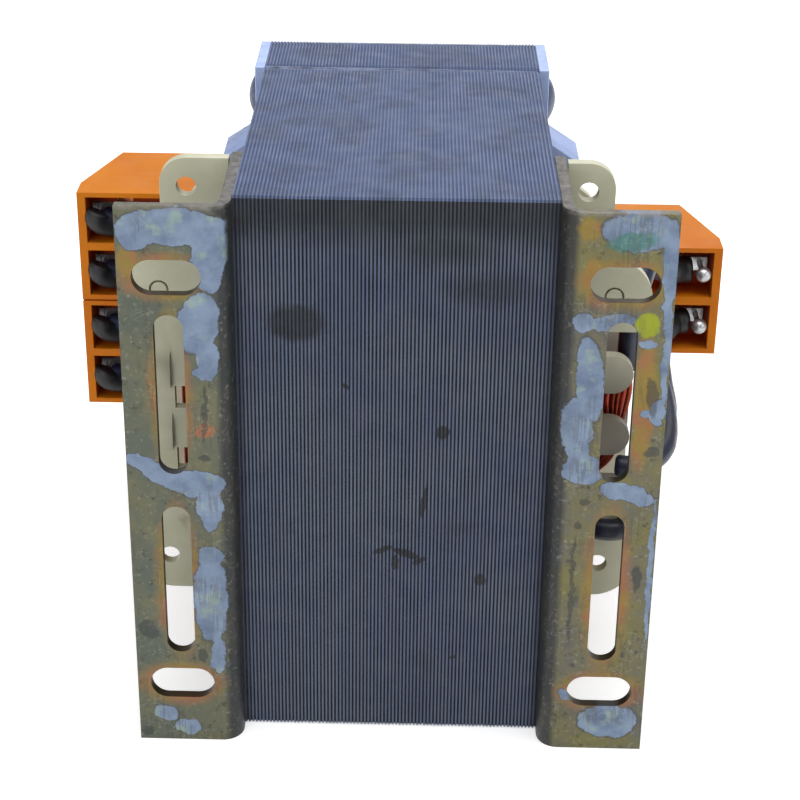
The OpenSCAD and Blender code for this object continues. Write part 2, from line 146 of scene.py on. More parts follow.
def makeStreaks():  # thin scratches, longest along the axis that is stretched least
    group, given, result = newGroup("streaks", [("Point", "Vector", None),
                                                ("Stretch", "Vector", (1.0, 1.0, 1.0)),
                                                ("Scale", "Float", 400.0), ("Share", "Float", 0.08)], "Mask")
    drawn = vectorMaths(group, "MULTIPLY", given["Point"], given["Stretch"])
    lines = cloudy(group, drawn, Scale=given["Scale"], Detail=3.0, Roughness=0.7).outputs[0]
    ridge = maths(group, "ABSOLUTE", maths(group, "SUBTRACT", lines, 0.5))
    thin = maths(group, "LESS_THAN", ridge, times(group, given["Share"], 0.1))
    patchy = cloudy(group, given["Point"], Scale=160.0, Detail=2.0).outputs[0]
    group.links.new(times(group, thin, ramp(group, patchy, 0.48, 0.6)), result["Mask"])
    return group


def makeSpot():  # distance from the middle of an oval on the X-Z plane, 1 on its rim
    group, given, result = newGroup("spot", [("Point", "Vector", None), ("Middle", "Vector", (0.0, 0.0, 0.0)),
                                             ("Half", "Vector", (1.0, 1.0, 1.0)), ("Turn", "Float", 0.0)],
                                    "Reach")
    moved = vectorMaths(group, "SUBTRACT", given["Point"], given["Middle"])
    turned = addNode(group, "ShaderNodeVectorRotate", {"Vector": moved, "Angle": given["Turn"]},
                     rotation_type="Y_AXIS").outputs[0]
    scaled = vectorMaths(group, "DIVIDE", turned, given["Half"])
    flat = vectorMaths(group, "MULTIPLY", scaled, (1.0, 0.0, 1.0))
    reach = addNode(group, "ShaderNodeVectorMath", {0: flat}, operation="LENGTH").outputs["Value"]
    group.links.new(reach, result["Reach"])
    return group


mottle, streaks, spot = makeMottle(), makeStreaks(), makeSpot()


def mask(tree, point, scale, low, high):
    return useGroup(tree, mottle, {"Point": point, "Scale": scale, "Low": low, "High": high})


def scratch(tree, point, stretch, scale, share):
    return useGroup(tree, streaks, {"Point": point, "Stretch": stretch, "Scale": scale, "Share": share})


def spots(tree, point, ovals):  # joins ovals given in mm: x, z, half width, half height, turn in degrees
    blend = 0.25
    reaches = [useGroup(tree, spot, {"Point": point, "Middle": (x * mm, 0, z * mm),
                                     "Half": (halfX * mm, 1, halfZ * mm), "Turn": math.radians(turn)})
               for x, z, halfX, halfZ, turn in ovals]
    return joined(tree, "SMOOTH_MIN", reaches, blend)


def newMaterial(name):
    material = bpy.data.materials.new(name)
    material.use_nodes = True
    tree = material.node_tree
    tree.nodes.clear()
    shader = addNode(tree, "ShaderNodeBsdfPrincipled")
    output = addNode(tree, "ShaderNodeOutputMaterial")
    tree.links.new(shader.outputs[0], output.inputs[0])
    point = addNode(tree, "ShaderNodeTexCoord").outputs["Object"]
    return material, tree, shader, point


def bump(tree, shader, height, strength, distance):
    node = addNode(tree, "ShaderNodeBump", {"Height": height, "Strength": strength, "Distance": distance})
    tree.links.new(node.outputs[0], shader.inputs["Normal"])


def roughness(tree, shader, share, middle, offsets):
    low, high = (middle + offset for offset in offsets)
    tree.links.new(ramp(tree, share, 0, 1, low, high), shader.inputs["Roughness"])


# the edge of a sheet, and the line between two sheets, whose front is painted dark as shade in the gap
sheetFinishes = {
    "sheetLand": {"front": (82, 94, 112), "second": (72, 84, 109), "top": (82, 99, 138),
                  "rough": 0.5, "metal": 0.2},
    "sheetGapShade": {"front": (5, 8, 20), "second": (10, 14, 36), "top": (58, 72, 108),
                   "rough": 0.65, "metal": 0.0}}
steelTones = {"other": (60, 66, 84), "stain": (22, 26, 30), "side": (22, 28, 46), "litTopSecond": (76, 92, 128),
              "dash": (58, 68, 92)}
# noise scale, and the levels at which it starts and is full
steelMasks = {"second": (60.0, 0.42, 0.62), "blotch": (95.0, 0.60, 0.70), "top": (70.0, 0.4, 0.65),
              "rough": (300.0, 0.3, 0.7), "grain": (2500.0, 0.2, 0.8)}
# metres between which each zone fades in
steelZones = {"front": (-0.0355, -0.0370), "darkBand": (0.0765, 0.0805), "side": (0.0203, 0.0209)}
steelShares = {"blotch": 0.25, "darkBand": 0.8, "side": 0.6, "dash": 0.55}
steelDashes = {"stretch": (0.25, 2.6, 1.0), "scale": 900.0, "share": 0.9}
steelLook = {"alongSheet": (1.0, 0.03, 0.03), "otherScale": 1900.0, "otherLevels": (0.35, 0.7, 0.0, 0.35),
             "tearScale": 600.0, "tear": 0.0012, "facesUp": (0.3, 0.8), "roughRange": (-0.08, 0.12),
             "bump": 0.25, "bumpDepth": 0.00005}
# ovals in mm on the front of the stack, from where to where each fades in, and how strong it is
coreMarks = {
    "stain": {"ovals": [(-12.8, 66.4, 3.7, 2.5, 0)], "edge": (1.25, 0.85), "share": 0.8},
    "chip": {"ovals": [(7.4, 50.2, 0.9, 0.9, 0), (13.2, 26.4, 0.9, 0.9, 0), (5.0, 39.0, 0.35, 2.4, -8),
                       (-0.8, 31.2, 1.5, 0.5, 25), (2.4, 30.6, 1.9, 0.6, -20), (4.4, 29.4, 1.1, 0.5, 35),
                       (1.0, 29.0, 0.5, 1.2, 0), (-6.0, 57.0, 0.4, 0.4, 0), (9.6, 13.0, 0.5, 0.4, 0)],
             "edge": (1.15, 0.9), "share": 0.9},
    "cloud": {"ovals": [(6.7, 77.7, 6.8, 2.4, 0), (13.1, 71.7, 5.5, 2.2, 0)], "edge": (1.4, 0.5),
              "share": 0.55}}


def makeSheetEdge(name):
    finish = sheetFinishes[name]
    material, tree, shader, point = newMaterial(name)
    x, y, z = axes(tree, point)
    colour = mixColour(tree, mask(tree, point, *steelMasks["second"]), tone(finish["front"]),
                       tone(finish["second"]))
    alongSheet = vectorMaths(tree, "MULTIPLY", point, steelLook["alongSheet"])
    other = cloudy(tree, alongSheet, Scale=steelLook["otherScale"], Detail=1.0).outputs[0]
    colour = mixColour(tree, ramp(tree, other, *steelLook["otherLevels"]), colour, tone(steelTones["other"]))

    wobble = cloudy(tree, point, Scale=steelLook["tearScale"], Detail=3.0).outputs["Color"]
    torn = vectorMaths(tree, "MULTIPLY_ADD", wobble, (steelLook["tear"],) * 3, point)
    front = ramp(tree, y, *steelZones["front"])
    marks = joined(tree, "MAXIMUM", [
        times(tree, ramp(tree, spots(tree, torn, mark["ovals"]), *mark["edge"]), mark["share"])
        for mark in coreMarks.values()])
    blotch = times(tree, mask(tree, point, *steelMasks["blotch"]), steelShares["blotch"])
    darkBand = times(tree, ramp(tree, z, *steelZones["darkBand"]), front, steelShares["darkBand"])
    stained = maths(tree, "MAXIMUM", maths(tree, "ADD", blotch, darkBand, clamp=True), times(tree, marks, front))
    colour = mixColour(tree, stained, colour, tone(steelTones["stain"]))
    # painted shade on the front of the outermost sheets, in the gap beside the brackets
    outer = ramp(tree, maths(tree, "ABSOLUTE", x), *steelZones["side"])
    side = times(tree, outer, front, steelShares["side"])
    colour = mixColour(tree, side, colour, tone(steelTones["side"]))

    # painted light from above: faces that lie flat, pointing up or down, get the lighter, bluer "top" tone
    litTopColour = mixColour(tree, mask(tree, point, *steelMasks["top"]), tone(finish["top"]),
                          tone(steelTones["litTopSecond"]))
    dashes = times(tree, scratch(tree, point, **steelDashes), steelShares["dash"])
    litTopColour = mixColour(tree, dashes, litTopColour, tone(steelTones["dash"]))
    facesUp = ramp(tree, maths(tree, "ABSOLUTE", faceNormal(tree)[2]), *steelLook["facesUp"])
    colour = mixColour(tree, facesUp, colour, litTopColour)

    tree.links.new(colour, shader.inputs["Base Color"])
    shader.inputs["Metallic"].default_value = finish["metal"]
    roughness(tree, shader, mask(tree, point, *steelMasks["rough"]), finish["rough"], steelLook["roughRange"])
    bump(tree, shader, mask(tree, point, *steelMasks["grain"]), steelLook["bump"], steelLook["bumpDepth"])
    return material


# worn chromate on zinc: ovals in mm where the pale coat is left, and where other stains lie
feetMarks = {
    "left": {"pale": [(-29.0, 81.2, 7.4, 2.6, 0), (-24.2, 77.6, 2.5, 4.4, 0), (-34.0, 80.2, 2.4, 2.6, 0),
                      (-24.4, 73.6, 1.5, 1.6, 0), (-26.0, 67.5, 2.9, 4.6, -12), (-24.9, 62.5, 1.5, 3.4, 0),
                      (-25.6, 60.2, 1.6, 0.9, 0), (-34.2, 46.2, 2.5, 1.3, -25), (-31.0, 44.2, 3.4, 1.7, -12),
                      (-26.8, 43.2, 3.9, 2.2, 0), (-25.1, 39.4, 1.9, 3.8, 0), (-25.5, 24.6, 2.5, 7.6, 0),
                      (-25.4, 31.4, 2.0, 1.5, 0), (-24.7, 14.8, 1.1, 3.0, 0), (-32.6, 4.7, 1.9, 1.4, -20),
                      (-29.5, 2.3, 1.9, 1.4, -10)],
             "dark": [(-34.5, 19.2, 1.2, 1.7, 30), (-25.6, 54.0, 0.4, 4.6, 0), (-25.6, 47.0, 0.9, 0.5, 0),
                      (-35.4, 1.4, 1.0, 0.8, 0), (-27.0, 14.8, 0.7, 1.3, 0)],
             "gold": [(-30, 74, 6.2, 3.6, 0), (-30, 10, 6.4, 3.8, 0), (-30, 27.4, 3.4, 13.4, 0),
                      (-30, 56.6, 3.0, 13.2, 0), (-35.0, 76.5, 1.6, 3.0, 0), (-25.4, 51.3, 1.6, 1.2, 0)]},
    "right": {"pale": [(31.4, 81.6, 4.9, 3.0, 0), (35.6, 77.0, 1.1, 6.6, 0), (24.7, 68.6, 1.6, 1.6, 0),
                       (28.6, 68.6, 3.4, 1.1, 8), (33.4, 65.6, 1.3, 0.7, 0), (26.0, 60.2, 1.9, 6.2, 6),
                       (24.6, 52.0, 2.2, 5.4, 6), (26.0, 46.4, 3.0, 2.2, 0), (35.3, 55.4, 1.2, 2.0, 0),
                       (33.8, 55.2, 0.8, 0.5, 0), (32.2, 42.8, 3.9, 1.4, -16), (31.6, 4.9, 4.4, 2.9, 0),
                       (26.0, 9.0, 2.2, 0.8, -35), (35.9, 64.0, 0.6, 10.0, 0), (36.0, 30.0, 0.4, 12.0, 0)],
              "dark": [(34.2, 29.0, 0.6, 2.4, 0), (26.3, 41.4, 0.8, 0.5, 0), (25.8, 37.6, 0.5, 0.7, 0),
                       (34.9, 49.4, 0.9, 0.9, 0), (34.4, 57.5, 0.7, 3.0, 8), (25.2, 27.0, 0.35, 9.0, 0)],
              "gold": [(30, 74, 6.4, 3.8, 0), (30, 10, 6.6, 3.8, 0), (30, 27.4, 3.6, 13.8, 0),
                       (33.4, 57.0, 1.6, 11.0, 0), (26.0, 74.5, 1.8, 3.6, 0), (25.0, 81.8, 1.8, 1.6, 0)],
              "green": [(30.3, 80.0, 3.4, 1.3, 6)], "lime": [(33.3, 68.4, 1.6, 1.8, 0)]}}
# stains on the front of a foot: from where to where each fades in, and how strong it is
footStains = {"green": {"edge": (1.1, 0.8), "share": 0.8, "tone": (52, 112, 104)},
              "lime": {"edge": (1.08, 0.9), "share": 0.9, "tone": (140, 150, 26)},
              "dark": {"edge": (1.1, 0.85), "share": 0.65, "tone": (52, 56, 56)}}
footTones = {"left": ((84, 90, 79), (100, 99, 76)), "right": ((94, 92, 82), (108, 104, 66)),
             "bend": (38, 41, 48), "dust": (70, 68, 60), "grain": (150, 148, 138), "gold": (136, 112, 42),
             "orange": (150, 92, 60), "pale": (120, 138, 162), "paleDark": (84, 100, 126),
             "haze": (150, 170, 140), "rim": (58, 58, 62), "bright": (190, 190, 175), "cut": (44, 37, 29),
             "topLine": (132, 126, 122)}
footMasks = {"second": (130.0, 0.4, 0.6), "dust": (900.0, 0.58, 0.7), "grain": (1500.0, 0.58, 0.68),
             "gold": (210.0, 0.42, 0.6), "pale": (240.0, 0.4, 0.7), "haze": (330.0, 0.56, 0.66),
             "topLine": (700.0, 0.35, 0.6), "rough": (400.0, 0.3, 0.7), "height": (1500.0, 0.3, 0.7)}
footZones = {"front": (-0.0402, -0.0409), "bend": (0.0240, 0.0231), "outside": (0.0362, 0.0358),
             "inside": (0.0246, 0.0250), "top": (0.0825, 0.082), "foot": (0.0012, 0.0018),
             "topLine": (0.0834, 0.0838)}
footShares = {"bend": 0.85, "grain": 0.35, "gold": 0.75, "haze": 0.45, "rim": 0.7, "lines": 0.35,
              "bright": 0.1, "cut": 0.85, "topLine": 0.6}
footScratches = {"lines": {"stretch": (1.0, 1.0, 0.08), "scale": 700.0, "share": 0.5},
                 "bright": {"stretch": (0.3, 1.0, 0.5), "scale": 500.0, "share": 0.1}}
# distance from an oval's middle, 1 on its rim, between which each fades in
footEdges = {"gold": (1.1, 0.7), "coat": (1.0, 0.96), "rimOutside": (1.07, 1.0), "rimInside": (0.93, 1.0)}
footLook = {"tearScale": 420.0, "tear": 0.0022, "sideways": 0.45, "metal": (0.55, 0.1), "rough": 0.36,
            "roughRange": (0, 0.19), "coatHeight": 0.6, "grainHeight": 0.3, "bump": 0.5,
            "bumpDepth": 0.00006}


def makeChromate(side):
    marks = feetMarks[side]
    material, tree, shader, point = newMaterial("chromate" + side.capitalize())
    x, y, z = axes(tree, point)
    away = maths(tree, "ABSOLUTE", x)
    front = ramp(tree, y, *footZones["front"])
    wobble = cloudy(tree, point, Scale=footLook["tearScale"], Detail=4.0, Roughness=0.65).outputs["Color"]
    offset = vectorMaths(tree, "MULTIPLY", vectorMaths(tree, "SUBTRACT", wobble, (0.5, 0.5, 0.5)),
                         (footLook["tear"],) * 3)
    torn = vectorMaths(tree, "ADD", point, offset)

    def share(name):
        return times(tree, mask(tree, point, *footMasks[name]), footShares[name])

    base, second = footTones[side]
    colour = mixColour(tree, mask(tree, point, *footMasks["second"]), tone(base), tone(second))
    # painted shade where the bracket folds back beside the core
    bend = times(tree, ramp(tree, away, *footZones["bend"]), footShares["bend"])
    colour = mixColour(tree, bend, colour, tone(footTones["bend"]))
    colour = mixColour(tree, mask(tree, point, *footMasks["dust"]), colour, tone(footTones["dust"]))
    colour = mixColour(tree, share("grain"), colour, tone(footTones["grain"]))
    halo = times(tree, ramp(tree, spots(tree, torn, marks["gold"]), *footEdges["gold"]), footShares["gold"])
    tint = mixColour(tree, mask(tree, point, *footMasks["gold"]), tone(footTones["gold"]),
                     tone(footTones["orange"]))
    colour = mixColour(tree, halo, colour, tint)

    pale = spots(tree, torn, marks["pale"])
    coated = times(tree, ramp(tree, pale, *footEdges["coat"]), front)
    paleTone = mixColour(tree, mask(tree, point, *footMasks["pale"]), tone(footTones["pale"]),
                         tone(footTones["paleDark"]))
    paleTone = mixColour(tree, share("haze"), paleTone, tone(footTones["haze"]))
    colour = mixColour(tree, coated, colour, paleTone)
    rim = times(tree, ramp(tree, pale, *footEdges["rimOutside"]), ramp(tree, pale, *footEdges["rimInside"]),
                front, footShares["rim"])
    colour = mixColour(tree, rim, colour, tone(footTones["rim"]))

    for name, stain in footStains.items():
        if name in marks:
            stained = times(tree, ramp(tree, spots(tree, torn, marks[name]), *stain["edge"]), front,
                            stain["share"])
            colour = mixColour(tree, stained, colour, tone(stain["tone"]))
    lines = times(tree, scratch(tree, point, **footScratches["lines"]), footShares["lines"])
    colour = mixColour(tree, lines, colour, tone(footTones["dust"]))
    bright = times(tree, scratch(tree, point, **footScratches["bright"]), footShares["bright"])
    colour = mixColour(tree, bright, colour, tone(footTones["bright"]))

    # the walls of the slots, away from the foot's own edges
    sideways = maths(tree, "LESS_THAN", maths(tree, "ABSOLUTE", faceNormal(tree)[1]), footLook["sideways"])
    across = times(tree, ramp(tree, away, *footZones["outside"]), ramp(tree, away, *footZones["inside"]))
    along = times(tree, ramp(tree, z, *footZones["top"]), ramp(tree, z, *footZones["foot"]))
    cut = times(tree, sideways, times(tree, across, along), footShares["cut"])
    colour = mixColour(tree, cut, colour, tone(footTones["cut"]))
    topLine = times(tree, ramp(tree, z, *footZones["topLine"]), mask(tree, point, *footMasks["topLine"]),
                    footShares["topLine"])
    colour = mixColour(tree, topLine, colour, tone(footTones["topLine"]))

    tree.links.new(colour, shader.inputs["Base Color"])
    tree.links.new(ramp(tree, coated, 0, 1, *footLook["metal"]), shader.inputs["Metallic"])
    roughness(tree, shader, mask(tree, point, *footMasks["rough"]), footLook["rough"], footLook["roughRange"])
    height = maths(tree, "ADD", times(tree, coated, footLook["coatHeight"]),
                   times(tree, mask(tree, point, *footMasks["height"]), footLook["grainHeight"]))
    bump(tree, shader, height, footLook["bump"], footLook["bumpDepth"])
    return material


# "cloud" and "grain" are noise scales; "under" is light that goes below the surface
plainFinishes = {
    "zincPlate": {"base": (170, 190, 236), "second": (152, 170, 214), "cloud": 160.0, "dirt": (60, 72, 78),
                  "dirtFrom": 0.62, "metal": 0.45, "rough": 0.42, "grain": 1800.0, "bump": 0.2},
    "rivetPlate": {"base": (88, 101, 126), "second": (64, 76, 99), "cloud": 300.0, "dirt": (44, 54, 66),
                   "dirtFrom": 0.58, "metal": 0.5, "rough": 0.38, "grain": 1500.0, "bump": 0.25},
    "weldMetal": {"base": (104, 114, 143), "second": (66, 76, 103), "cloud": 350.0, "dirt": (36, 43, 60),
                  "dirtFrom": 0.56, "metal": 0.4, "rough": 0.46, "grain": 900.0, "bump": 0.4},
    "bobbinPlastic": {"base": (200, 198, 176), "second": (187, 187, 161), "cloud": 90.0,
                      "dirt": (150, 142, 112), "dirtFrom": 0.66, "metal": 0.0, "rough": 0.42,
                      "grain": 2600.0, "bump": 0.12, "under": 0.25, "underReach": (0.002, 0.0018, 0.0012)},
    "copperWire": {"base": (150, 62, 24), "second": (104, 34, 14), "cloud": 260.0, "dirt": (44, 18, 12),
                   "dirtFrom": 0.6, "metal": 0.75, "rough": 0.3, "grain": 1200.0, "bump": 0.1},
    "terminalPlastic": {"base": (207, 121, 7), "second": (198, 108, 5), "cloud": 70.0, "dirt": (172, 86, 8),
                        "dirtFrom": 0.66, "metal": 0.0, "rough": 0.5, "grain": 2200.0, "bump": 0.15,
                        "under": 0.15, "underReach": (0.002, 0.001, 0.0003), "shine": 0.2},
    "clampMetal": {"base": (176, 178, 176), "second": (150, 152, 150), "cloud": 240.0, "dirt": (96, 92, 84),
                   "dirtFrom": 0.64, "metal": 0.85, "rough": 0.34, "grain": 1600.0, "bump": 0.2},
    "tinnedMetal": {"base": (200, 202, 204), "second": (150, 154, 158), "cloud": 420.0, "dirt": (70, 66, 62),
                    "dirtFrom": 0.62, "metal": 0.8, "rough": 0.28, "grain": 900.0, "bump": 0.35},
    "redWire": {"base": (176, 44, 12), "second": (120, 22, 10), "cloud": 420.0, "dirt": (58, 14, 12),
                "dirtFrom": 0.55, "metal": 0.1, "rough": 0.3, "grain": 1500.0, "bump": 0.05},
    "shrink": {"base": (13, 14, 20), "second": (8, 9, 13), "cloud": 300.0, "dirt": (34, 38, 48),
               "dirtFrom": 0.68, "metal": 0.0, "rough": 0.5, "grain": 1400.0, "bump": 0.15},
    "sleeve": {"base": (28, 36, 62), "second": (14, 18, 34), "cloud": 220.0, "dirt": (52, 62, 92),
               "dirtFrom": 0.66, "metal": 0.0, "rough": 0.34, "grain": 1500.0, "bump": 0.25}}
# what all plain finishes share: levels of the noise, and scales as shares of "cloud"
plainLook = {"cloud": (0.38, 0.64), "dirtScale": 2.3, "dirtWidth": 0.1, "dirtShare": 0.6, "roughScale": 3,
             "roughLevels": (0.3, 0.7), "roughRange": (-0.06, 0.12), "grain": (0.25, 0.75),
             "bumpDepth": 0.00005}
# heights of the terminals in mm, left and right
poles = {-1: (55.75, 46.25, 36.15, 26.65), 1: (47.55, 38.05)}
# metres between which each tint fades in
comb = {"x": (0.0285, 0.0300), "top": (0.0560, 0.0480), "foot": (0.0330, 0.0370), "share": 0.75,
        "tone": (78, 64, 62)}
pocket = {"half": (0.0044, 0.0042), "mouth": (0.0228, 0.0262), "back": (0.0290, 0.0286),
          "side": (0.0528, 0.0524), "share": 0.85, "tone": (176, 46, 3)}


# painted shade and painted copper reflection, as a brownish tint
def addCombShade(tree, point, colour):  # on the right comb, beside the wires
    x, y, z = axes(tree, point)
    darkBand = times(tree, ramp(tree, x, *comb["x"]), ramp(tree, z, *comb["top"]), ramp(tree, z, *comb["foot"]),
                 comb["share"])
    return mixColour(tree, darkBand, colour, tone(comb["tone"]))


def addPocketRed(tree, point, colour):  # light that bounces in the pockets comes out redder
    x, y, z = axes(tree, point)
    sides = []
    for side, heights in poles.items():
        nearest = joined(tree, "MINIMUM", [maths(tree, "ABSOLUTE", maths(tree, "SUBTRACT", z, height * mm))
                                           for height in heights])
        onSide = maths(tree, "GREATER_THAN", times(tree, x, side), 0.0)
        sides.append(times(tree, ramp(tree, nearest, *pocket["half"]), onSide))
    deep = times(tree, ramp(tree, y, *pocket["mouth"]), ramp(tree, y, *pocket["back"]),
                 ramp(tree, maths(tree, "ABSOLUTE", x), *pocket["side"]), joined(tree, "MAXIMUM", sides),
                 pocket["share"])
    return mixColour(tree, deep, colour, tone(pocket["tone"]))


localTints = {"bobbinPlastic": addCombShade, "terminalPlastic": addPocketRed}


def makePlain(name):
    finish = plainFinishes[name]
    cloud, dirtFrom = finish["cloud"], finish["dirtFrom"]
    material, tree, shader, point = newMaterial(name)
    colour = mixColour(tree, mask(tree, point, cloud, *plainLook["cloud"]), tone(finish["base"]),
                       tone(finish["second"]))
    dirt = mask(tree, point, cloud * plainLook["dirtScale"], dirtFrom, dirtFrom + plainLook["dirtWidth"])
    colour = mixColour(tree, times(tree, dirt, plainLook["dirtShare"]), colour, tone(finish["dirt"]))
    if name in localTints:
        colour = localTints[name](tree, point, colour)
    tree.links.new(colour, shader.inputs["Base Color"])
    shader.inputs["Metallic"].default_value = finish["metal"]
    if "under" in finish:
        shader.inputs["Subsurface Weight"].default_value = finish["under"]
        shader.inputs["Subsurface Radius"].default_value = finish["underReach"]
    if "shine" in finish:
        shader.inputs["Specular IOR Level"].default_value = finish["shine"]
    uneven = mask(tree, point, cloud * plainLook["roughScale"], *plainLook["roughLevels"])
    roughness(tree, shader, uneven, finish["rough"], plainLook["roughRange"])
    grain = mask(tree, point, finish["grain"], *plainLook["grain"])
    bump(tree, shader, grain, finish["bump"], plainLook["bumpDepth"])
    return material


finishes = {name: makePlain(name) for name in plainFinishes}
finishes.update((name, makeSheetEdge(name)) for name in sheetFinishes)
finishes["chromateLeft"], finishes["chromateRight"] = makeChromate("left"), makeChromate("right")
report("materials")


# helpers for making pieces
def place(name, mesh, materials, replaced, angle=35):
    data = bpy.data.meshes.new(name)
    mesh.to_mesh(data)
    mesh.free()
    data.shade_smooth()
    data.set_sharp_from_angle(angle=math.radians(angle))
    piece = bpy.data.objects.new(name, data)
    bpy.context.scene.collection.objects.link(piece)
    for material in materials:
        data.materials.append(finishes[material])
    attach(piece, "root")
    for node in replaced:
        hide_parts(node)
    return piece


# metres and degrees: points closer than "merge" are one, faces within "flat" are joined
softEdge = {"merge": 1e-6, "flat": 0.4, "segments": 2, "angle": 40}


def cadCopy(name, node, material, width, shape=None):  # a node with its edges softened
    mesh = bmesh.new()
    mesh.from_mesh(nodes[node].data)
    bmesh.ops.remove_doubles(mesh, verts=mesh.verts, dist=softEdge["merge"])
    bmesh.ops.dissolve_limit(mesh, angle_limit=math.radians(softEdge["flat"]), verts=mesh.verts,
                             edges=mesh.edges)
    if shape:
        shape(mesh)
    piece = place(name, mesh, [material], [node])
    soften = piece.modifiers.new("soften", "BEVEL")
    soften.width, soften.segments, soften.limit_method = width * mm, softEdge["segments"], "ANGLE"
    soften.angle_limit, soften.harden_normals = math.radians(softEdge["angle"]), True


def dress(node, material):
    data = nodes[node].data
    data.materials.clear()
    data.materials.append(finishes[material])


def smoothPath(points, steps):  # a curve through points in mm, as vectors in metres
    points = [Vector(p) * mm for p in points]
    last = len(points) - 1
    path = []
    for i in range(last):
        a, b, c, d = points[max(i - 1, 0)], points[i], points[i + 1], points[min(i + 2, last)]
        for k in range(steps):
            t = k / steps
            path.append(0.5 * (2 * b + (c - a) * t + (2 * a - 5 * b + 4 * c - d) * t * t
                               + (3 * b - a - 3 * c + d) * t ** 3))
    return path + [points[last]]


def growRing(mesh, edges):  # extrudes a ring of edges and gives the new points and edges
    grown = bmesh.ops.extrude_edge_only(mesh, edges=edges)["geom"]
    verts = [g for g in grown if isinstance(g, bmesh.types.BMVert)]
    return verts, [g for g in grown if isinstance(g, bmesh.types.BMEdge) and all(v in verts for v in g.verts)]


def sweep(mesh, path, radii, sides):  # a closed tube along a path
    normal = Vector((0.2, 0.25, 1))
    previous = None
    for i, centre in enumerate(path):
        along = (path[min(i + 1, len(path) - 1)] - path[max(i - 1, 0)]).normalized()
        normal = (normal - along * normal.dot(along)).normalized()
        turn = Matrix((along.cross(normal), normal, along)).transposed().to_4x4()
        where = Matrix.Translation(centre) @ turn @ Matrix.Scale(radii[i], 4)
        if previous is None:
            verts = bmesh.ops.create_circle(mesh, cap_ends=True, segments=sides, radius=1,
                                            matrix=where)["verts"]
            edges = list(dict.fromkeys(e for v in verts for e in v.link_edges))
        else:
            verts, edges = growRing(mesh, edges)
            bmesh.ops.transform(mesh, matrix=where @ previous.inverted(), verts=verts)
        previous = where
    bmesh.ops.contextual_create(mesh, geom=edges)


def close(mesh, gap=1e-7):
    bmesh.ops.remove_doubles(mesh, verts=mesh.verts, dist=gap)
    bmesh.ops.recalc_face_normals(mesh, faces=mesh.faces)


# mm; "landShare" is the bright part of a sheet's thickness, "recess" the depth of the dark line,
# which "frontRecess" and "footRecess" multiply on two sides of the E sheets
sheets = {"count": 83, "landShare": 0.48, "recess": 0.15, "frontRecess": 2, "footRecess": 0.2,
          "corner": 0.32, "play": 0.05, "leg": 14, "window": 14, "groove": 1.2, "seed": 7}


def eOutline(y0, y1, z0, z1, inset):
    leg, window, cut, corner = (sheets[k] * mm for k in ("leg", "window", "groove", "corner"))
    face, low, high = y0 + sheets["frontRecess"] * inset, z0 + sheets["footRecess"] * inset, z1 - inset
    return [(face, low + corner), (face + corner, low), (y1 - cut, low), (y1, low + cut), (y1, z0 + leg),
            (y0 + leg, z0 + leg), (y0 + leg, z0 + leg + window), (y1, z0 + leg + window),
            (y1, z1 - leg - window), (y0 + leg, z1 - leg - window), (y0 + leg, z1 - leg), (y1, z1 - leg),
            (y1, high - cut), (y1 - cut, high), (face + corner, high), (face, high - corner)]


def iOutline(y0, y1, z0, z1, inset):
    cut, corner = sheets["groove"] * mm, sheets["corner"] * mm
    back, low, high = y1 - inset, z0 + inset, z1 - inset
    return [(y0, low + cut), (y0 + cut, low), (back - corner, low), (back, low + corner),
            (back, high - corner), (back - corner, high), (y0 + cut, high), (y0, high - cut)]


def stack(name, node, outline):
    low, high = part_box(node)
    rand = random.Random(sheets["seed"])
    pitch = (high.x - low.x) / sheets["count"]
    land, recess = sheets["landShare"], sheets["recess"] * mm
    mesh = bmesh.new()
    for i in range(sheets["count"]):
        jitter = rand.random() ** 2 * sheets["play"] * mm
        slices = ((0, land, jitter), (land, 1 - land, jitter + recess))  # start, share and inset
        for index, (start, share, inset) in enumerate(slices):
            x = low.x + (i + start) * pitch
            face = mesh.faces.new([mesh.verts.new((x, y, z))
                                   for y, z in outline(low.y, high.y, low.z, high.z, inset)])
            face.material_index = index
            grown = bmesh.ops.extrude_face_region(mesh, geom=[face], use_keep_orig=True)["geom"]
            bmesh.ops.translate(mesh, verts=[g for g in grown if isinstance(g, bmesh.types.BMVert)],
                                vec=(share * pitch, 0, 0))
    bmesh.ops.recalc_face_normals(mesh, faces=mesh.faces)
    place(name, mesh, list(sheetFinishes), [node])


stack("eSheets", "e_core_stack", eOutline)
stack("iSheets", "i_core_stack", iOutline)

# mm; the profile is in shares of the half width and the rise
bead = {"half": 0.95, "rise": 1.05, "below": 0.04, "steps": 90, "wave": 0.04, "waveScale": (900, 200),
        "drop": 0.012, "dropTurn": 2.1, "dropEven": 0.3, "seed": 3, "smooth": 60,
        "profile": [(-1, -0.75), (-0.72, -0.28), (-0.3, 0), (0.3, 0), (0.72, -0.28), (1, -0.75), (0, -1.6)]}


